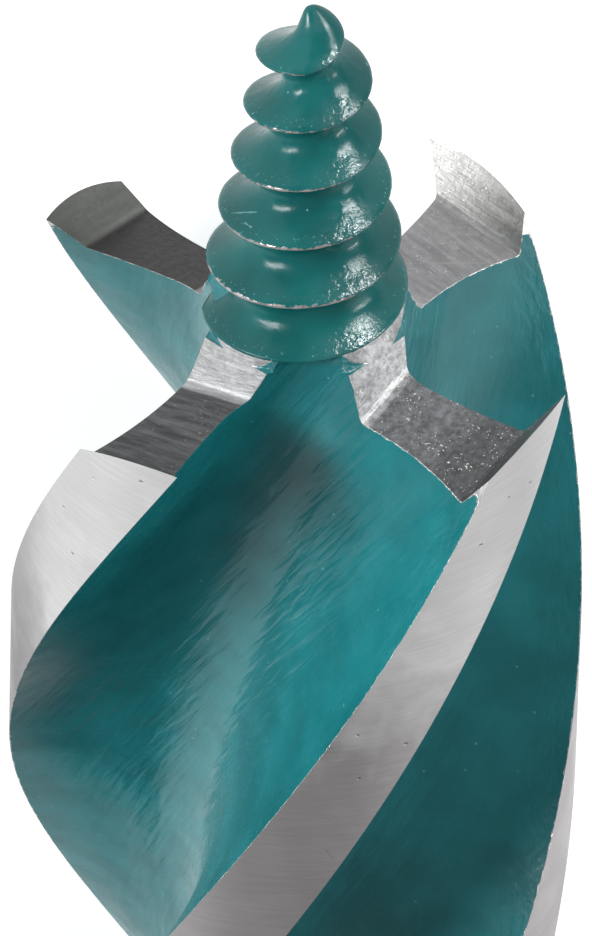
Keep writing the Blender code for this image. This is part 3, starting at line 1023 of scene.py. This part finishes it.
def stepped_down(nodes, bare, relief):
    """The relief, with a step down to where the lacquer has come off."""
    return nodes.bump(nodes.less(1.0, bare), LACQUER_THICKNESS, relief)


def lacquer_colour(nodes, place, dark=LACQUER_DARK, light=LACQUER_LIGHT):
    """Teal that is thinner in places, with a few pale specks."""
    teal = nodes.mix(nodes.clouds(nodes.noise(place, 0.35, 3.0)), dark, light)
    specks = nodes.step(nodes.spots(place, 0.9), 0.03, 0.06, 0.55, 0.0)
    return nodes.mix(specks, teal, LACQUER_SPECK_AND_GLINT)


def ring_lengths(outline):
    """Lengths across one land, and across one land and its flute, in millimetres."""
    ring = fluted_ring(-TIP_DEPTH, outline)
    steps = [(ring[index + 1] - ring[index]).length * MM for index in range(WING_STEPS)]
    return sum(steps[:LAND_STEPS]), sum(steps)


def flute_relief(nodes, place, from_front, to_heel):
    """Feathery streaks in the flute's root, wrinkles by its heel, and a fine grain."""
    across, height = nodes.grain()
    slanted = nodes.less(across, nodes.times(height, STREAK_SLOPE))
    streak_place = nodes.vector(nodes.times(slanted, STREAKS_ACROSS),
                                nodes.times(height, STREAKS_ALONG))
    streaks = nodes.noise(streak_place, 1.0, 2.0, 0.5, 0.2)
    in_root = nodes.times(nodes.step(from_front, 1.0, 7.0, 0.2, 1.0),
                          nodes.step(to_heel, 3.0, 9.0, 0.15, 1.0))
    ripples = nodes.noise(nodes.vector(across, nodes.times(height, 0.5)), 1.6, 3.0, 0.6)
    by_heel = nodes.step(to_heel, 0.5, 3.0, 1.0, 0.0)
    relief = nodes.bump(nodes.times(streaks, in_root), STREAK_DEPTH)
    relief = nodes.bump(nodes.times(ripples, by_heel), RIPPLE_DEPTH, relief)
    return nodes.bump(nodes.noise(place, 2.2, 3.0, 0.6), FLUTE_GRAIN_DEPTH, relief)


def flute_lacquer(outline):
    """Lacquer in the flutes, duller on the leading flanks, with chips by the lands."""
    land_width, period = ring_lengths(outline)
    nodes = Nodes("flute_lacquer")
    place = nodes.place()
    column = nodes.math("FLOORED_MODULO", nodes.grain()[0], period)
    from_front = nodes.less(column, land_width)
    relief = flute_relief(nodes, place, from_front, nodes.less(period, column))
    bare = chipped(nodes, place, FLUTE_CHIPS)
    return nodes.finish(
        colour=nodes.mix(bare, lacquer_colour(nodes, place), WORN_STEEL),
        roughness=nodes.clouds(nodes.noise(place, 0.8, 3.0), *FLUTE_ROUGHNESS),
        metallic=nodes.times(bare, CHIP_METAL),
        normal=stepped_down(nodes, bare, relief),
        gloss=nodes.step(from_front, 3.0, 8.0, *FLUTE_GLOSS),
    )


def worn_crests(nodes, place, up):
    """1 where the lacquer has come off the thread's crests, else 0. One side is worn more."""
    x, y, z = nodes.split(place)
    to_worn_side = nodes.plus(nodes.times(x, cos(WORN_AZIMUTH)), nodes.times(y, sin(WORN_AZIMUTH)))
    reach = nodes.step(to_worn_side, 0.5, 4.0, -0.05, 0.045)
    ragged = nodes.noise(place, 2.2, 5.0, 0.65)
    reach = nodes.plus(reach, nodes.step(ragged, 0.35, 0.75, -0.03, 0.08))
    reach = nodes.plus(reach, nodes.step(z, 1.2, 2.2, -0.2, 0.0))
    from_crest = nodes.math("MINIMUM", up, nodes.less(SCREW_PITCH * MM, up))
    return nodes.within(from_crest, reach)


def struck_side(nodes, place):
    """1 on the side of the screw that was struck, and close to 0 away from it."""
    x, y, _ = nodes.split(place)
    away = nodes.math("ABSOLUTE", nodes.less(nodes.math("ARCTAN2", y, x), STRUCK_AZIMUTH))
    return nodes.step(away, 0.25 * STRUCK_WIDTH, 1.2 * STRUCK_WIDTH, 1.0, 0.06)


def screw_colour(nodes, place, up):
    """The screw's darker teal, with painted glints as pale specks above the crests, and scratches."""
    # Painted glints: pale specks near the crests
    speck_pattern = nodes.times(nodes.step(nodes.noise(place, 6.5, 2.0), 0.64, 0.72),
                         nodes.step(up, 0.1, 0.5, 0.45, 0.0))
    colour = nodes.mix(speck_pattern, lacquer_colour(nodes, place, SCREW_DARK, SCREW_LIGHT), LACQUER_SPECK_AND_GLINT)
    for start, end in SCREW_SCRATCHES:
        colour = nodes.mix(nodes.scratch(place, start, end), colour, LACQUER_SPECK_AND_GLINT)
    return colour


def screw_relief(nodes, place, hammered):
    """Small dents where the screw was struck, slow waves, and a fine grain."""
    dents = nodes.noise(place, 3.6, 2.0, 0.55, 0.6)
    relief = nodes.bump(nodes.times(dents, hammered), HAMMERED_DEPTH)
    relief = nodes.bump(nodes.noise(place, 1.1, 3.0), SCREW_WAVE_DEPTH, relief)
    return nodes.bump(nodes.noise(place, 7.0, 2.0), SCREW_GRAIN_DEPTH, relief)


def screw_lacquer():
    """Lacquer on the feed screw: glossy roots, hammered flanks and worn crests."""
    nodes = Nodes("screw_lacquer")
    place = nodes.place()
    up = nodes.grain()[1]
    bare = worn_crests(nodes, place, up)
    struck = struck_side(nodes, place)
    hammered = nodes.times(struck, nodes.step(up, 0.25, 0.85, 1.0, 0.0))
    glossy_root = nodes.times(struck, nodes.step(up, 1.5, 1.9))
    glossy = nodes.math("MAXIMUM", hammered, glossy_root)
    worn = nodes.mix(nodes.noise(place, 3.0, 2.0), WORN_CREST_DARK, WORN_CREST)
    return nodes.finish(
        colour=nodes.mix(bare, screw_colour(nodes, place, up), worn),
        roughness=nodes.clouds(nodes.noise(place, 1.5), *SCREW_ROUGHNESS),
        metallic=nodes.times(bare, CREST_METAL),
        normal=stepped_down(nodes, bare, screw_relief(nodes, place, hammered)),
        gloss=nodes.math("MULTIPLY_ADD", glossy, ADDED_GLOSS, SCREW_GLOSS),
    )


def collar_lacquer():
    """Thick, lumpy lacquer round the collar."""
    nodes = Nodes("collar_lacquer")
    place = nodes.place()
    bare = chipped(nodes, place, COLLAR_CHIPS)
    return nodes.finish(
        colour=nodes.mix(bare, lacquer_colour(nodes, place), WORN_STEEL),
        roughness=COLLAR_ROUGHNESS,
        metallic=nodes.times(bare, CHIP_METAL),
        normal=nodes.bump(nodes.noise(place, 1.3, 2.0, 0.5), COLLAR_LUMP_DEPTH),
        gloss=COLLAR_GLOSS,
    )


def land_painted_reflection(nodes, place, marks, clouds):
    """Painted reflections, bright by the tip and darker further down, and painted shade on one side,
    with a scratch.
    """
    x, _, z = nodes.split(place)
    drifting = nodes.plus(z, nodes.step(clouds, 0.2, 0.8, -3.0, 3.0))
    # Painted reflections: the tone goes from bright by the tip to darker further down
    tone = nodes.ramp(drifting, -60.0, 0.0, (
        (-60.0, LAND_PAINTED_DARK_REFLECTION), (-16.0, LAND_PAINTED_DARK_REFLECTION), (-10.5, LAND_PAINTED_BRIGHT_REFLECTION), (-6.0, LAND_PAINTED_TIP_REFLECTION)))
    tone = nodes.shade(tone, nodes.step(marks, 0.2, 0.8, 0.90, 1.06))
    # Painted shade: the lands are darker on the bit's -x side
    tone = nodes.shade(tone, nodes.step(x, -12.4, -10.6, 0.55, 1.0))
    return nodes.mix(nodes.scratch(place, *LAND_SCRATCH), tone, NICK_DARK)


def land_steel():
    """Ground lands, with fine marks round the bit and small nicks."""
    nodes = Nodes("ground_land")
    place = nodes.place()
    across, height = nodes.grain()
    mark_place = nodes.vector(nodes.times(across, 0.35), nodes.times(height, 7.0))
    marks = nodes.noise(mark_place, 1.0, 4.0, 0.65)
    clouds = nodes.noise(place, 0.5, 3.0)
    spots = nodes.spots(nodes.vectors("MULTIPLY", "Vector", place, (1.0, 1.0, 1.6)), 0.55)
    nicked = nodes.step(spots, 0.035, 0.07, 0.8, 0.0)
    return nodes.finish(
        colour=nodes.mix(nicked, land_painted_reflection(nodes, place, marks, clouds), NICK_DARK),
        roughness=nodes.clouds(clouds, *LAND_ROUGHNESS),
        metallic=LAND_METAL,
        normal=nodes.bump(nicked, -LAND_NICK_DEPTH, nodes.bump(marks, LAND_MARK_DEPTH)),
    )


def face_painted_reflection(nodes, out, face):
    """Painted reflections: the face's tone by the distance out from its wall's foot, with painted
    highlights along the creases and the spur's edge.
    """
    return nodes.ramp(out, -2.0, 10.0, (
        (-2.0, face.wall), (0.02, face.wall), (0.16, lighter(face.wall, 1.16)),
        (0.34, lighter(face.wall, 0.95)), (0.46, lighter(face.floor, 1.12)),
        (1.2, face.floor), (3.0, face.floor), (4.6, face.outer), (6.0, face.outer),
        (6.25, lighter(face.spur, 1.25)), (6.5, face.spur), (10.0, face.spur)))


def wheel_marks(nodes, along, out):
    """Broad and fine marks along the wheel's pass."""
    mark_place = nodes.vector(nodes.times(along, 0.12), out)
    broad = nodes.noise(mark_place, 2.6, 3.0, 0.6)
    fine = nodes.noise(mark_place, 11.0, 3.0, 0.6)
    return nodes.plus(nodes.times(broad, 0.65), nodes.times(fine, 0.35))


def bright_specks(nodes, place, share):
    """Bright specks in loose groups."""
    speck_pattern = nodes.noise(place, 9.0, 2.0, 0.5)
    threshold = nodes.step(nodes.noise(place, 0.9, 2.0), 0.35, 0.65, 0.74, 0.62)
    return nodes.step(nodes.less(speck_pattern, threshold), 0.0, 0.06, 0.0, share)


def face_steel(name, face):
    """A ground end face, with marks along the wheel's pass, mottling, specks and a scratch."""
    nodes = Nodes(name)
    place = nodes.place()
    along, out = nodes.grain()
    marks = wheel_marks(nodes, along, out)
    mark_share = nodes.step(out, 0.0, 0.6, 0.15, face.marks)
    marked = nodes.math("MULTIPLY_ADD", nodes.clouds(marks, -1.0, 1.0), mark_share, 1.0)
    clouds = nodes.noise(place, 3.2, 4.0, 0.7)
    mottled = nodes.clouds(clouds, 1 - face.mottle, 1 + face.mottle)
    # The tones are painted reflections and painted highlights, shaded by the wheel marks and the
    # mottling
    tone = nodes.shade(nodes.shade(face_painted_reflection(nodes, out, face), marked), mottled)
    tone = nodes.mix(bright_specks(nodes, place, face.specks), tone, SPECK_BRIGHT)
    return nodes.finish(
        colour=nodes.mix(nodes.scratch(place, *FACE_SCRATCH), tone, face.spur),
        roughness=nodes.clouds(clouds, *FACE_ROUGHNESS),
        metallic=FACE_METAL,
        normal=nodes.bump(clouds, FACE_MOTTLE_DEPTH, nodes.bump(marks, FACE_MARK_DEPTH)),
    )


def shank_steel():
    """Plain drawn steel of the neck and shank, with marks round it and a few scuffs."""
    nodes = Nodes("plain_shank")
    place = nodes.place()
    marks = nodes.noise(nodes.vectors("MULTIPLY", "Vector", place, (0.3, 0.3, 5.0)), 1.0, 4.0, 0.6)
    clouds = nodes.noise(place, 0.25, 3.0)
    scuff_place = nodes.vectors("MULTIPLY", "Vector", place, (2.0, 2.0, 0.3))
    scuffs = nodes.step(nodes.noise(scuff_place, 0.8, 4.0, 0.7), 0.62, 0.7, 0.0, 0.4)
    tone = nodes.mix(nodes.clouds(clouds), SHANK_DARK, SHANK_LIGHT)
    tone = nodes.shade(tone, nodes.step(marks, 0.25, 0.75, 0.9, 1.08))
    return nodes.finish(
        colour=nodes.mix(scuffs, tone, SHANK_SCUFF),
        roughness=nodes.clouds(clouds, *SHANK_ROUGHNESS),
        metallic=SHANK_METAL,
        normal=nodes.bump(marks, SHANK_MARK_DEPTH),
    )


# Stage

def shows_backdrop(nodes):
    """1 for the rays that show the backdrop: from the camera, and off or through the object."""
    path = nodes.add("ShaderNodeLightPath")
    shown = nodes.math("MAXIMUM", path.outputs["Is Camera Ray"], path.outputs["Is Glossy Ray"])
    return nodes.math("MAXIMUM", shown, path.outputs["Is Transmission Ray"])


def area_light(name, direction, distance, width, height, power, glossy):
    """A soft lamp that faces the tip, in this direction from the upright bit."""
    data = bpy.data.lights.new(name, "AREA")
    data.shape = "RECTANGLE"
    data.size, data.size_y = width, height
    data.energy = power
    light = add_object(name, data)
    back = direction.normalized()
    level = Vector((0, 0, 1)).cross(back).normalized()
    turn = Matrix((level, back.cross(level), back)).transposed().to_4x4()
    turn.translation = back * distance
    light.matrix_world = LAID_DOWN @ turn
    light.visible_camera = False
    light.visible_glossy = glossy


def make_floor():
    """A matt floor that keeps the bit's shadow, and glows only where the backdrop shows."""
    mesh = bpy.data.meshes.new("floor")
    corners = [(FLOOR_HALF * x, FLOOR_HALF * y, 0) for x, y in ((-1, -1), (1, -1), (1, 1), (-1, 1))]
    mesh.from_pydata(corners, [], [(0, 1, 2, 3)])
    floor = add_object("floor", mesh)
    nodes = Nodes("pale_floor")
    glow = nodes.math("MULTIPLY", shows_backdrop(nodes), FLOOR_GLOW)
    nodes.feed(nodes.shader.inputs["Emission Strength"], glow)
    nodes.shader.inputs["Emission Color"].default_value = WHITE
    floor_material = nodes.finish(colour=FLOOR_COLOUR, roughness=FLOOR_ROUGHNESS, gloss=0.0)
    mesh.materials.append(floor_material)


def make_camera():
    back = Vector((cos(CAMERA_ELEVATION) * cos(CAMERA_AZIMUTH),
                   cos(CAMERA_ELEVATION) * sin(CAMERA_AZIMUTH),
                   sin(CAMERA_ELEVATION)))
    level = Vector((-sin(CAMERA_AZIMUTH), cos(CAMERA_AZIMUTH), 0))
    above = back.cross(level)
    right = level * cos(CAMERA_ROLL) + above * sin(CAMERA_ROLL)
    up = above * cos(CAMERA_ROLL) - level * sin(CAMERA_ROLL)
    pose = Matrix((right, up, back)).transposed().to_4x4()
    pose.translation = CAMERA_TARGET + back * CAMERA_DISTANCE
    data = bpy.data.cameras.new("camera")
    data.sensor_width = CAMERA_SENSOR
    data.lens = CAMERA_LENS
    data.clip_end = CAMERA_CLIP_END
    camera = add_object("camera", data)
    camera.matrix_world = LAID_DOWN @ pose
    bpy.context.scene.camera = camera


def make_world():
    world = bpy.data.worlds.new("studio")
    world.use_nodes = True
    background = world.node_tree.nodes["Background"]
    background.inputs["Color"].default_value = WHITE
    background.inputs["Strength"].default_value = WORLD_FILL
    bpy.context.scene.world = world


def make_lights():
    for name, (azimuth, elevation, *settings) in LAMPS.items():
        level = polar(cos(radians(elevation)), radians(azimuth))
        area_light(name, at_height(level, sin(radians(elevation))), *settings)


for leftover in list(bpy.data.objects):
    if leftover.name in ("Cube", "Light", "Camera"):
        bpy.data.objects.remove(leftover)
bpy.context.scene.view_settings.view_transform = "Standard"

outline = FluteOutline()
bit_materials = [
    flute_lacquer(outline),
    screw_lacquer(),
    collar_lacquer(),
    land_steel(),
    shank_steel(),
    *(face_steel(f"ground_face_{wing + 1}", face) for wing, face in enumerate(FACE_REFLECTIONS_AND_MARKS)),
]
bit = build_bit(outline, bit_materials)
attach(bit, BODY)
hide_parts(NODE)
make_floor()
make_world()
make_lights()
make_camera()
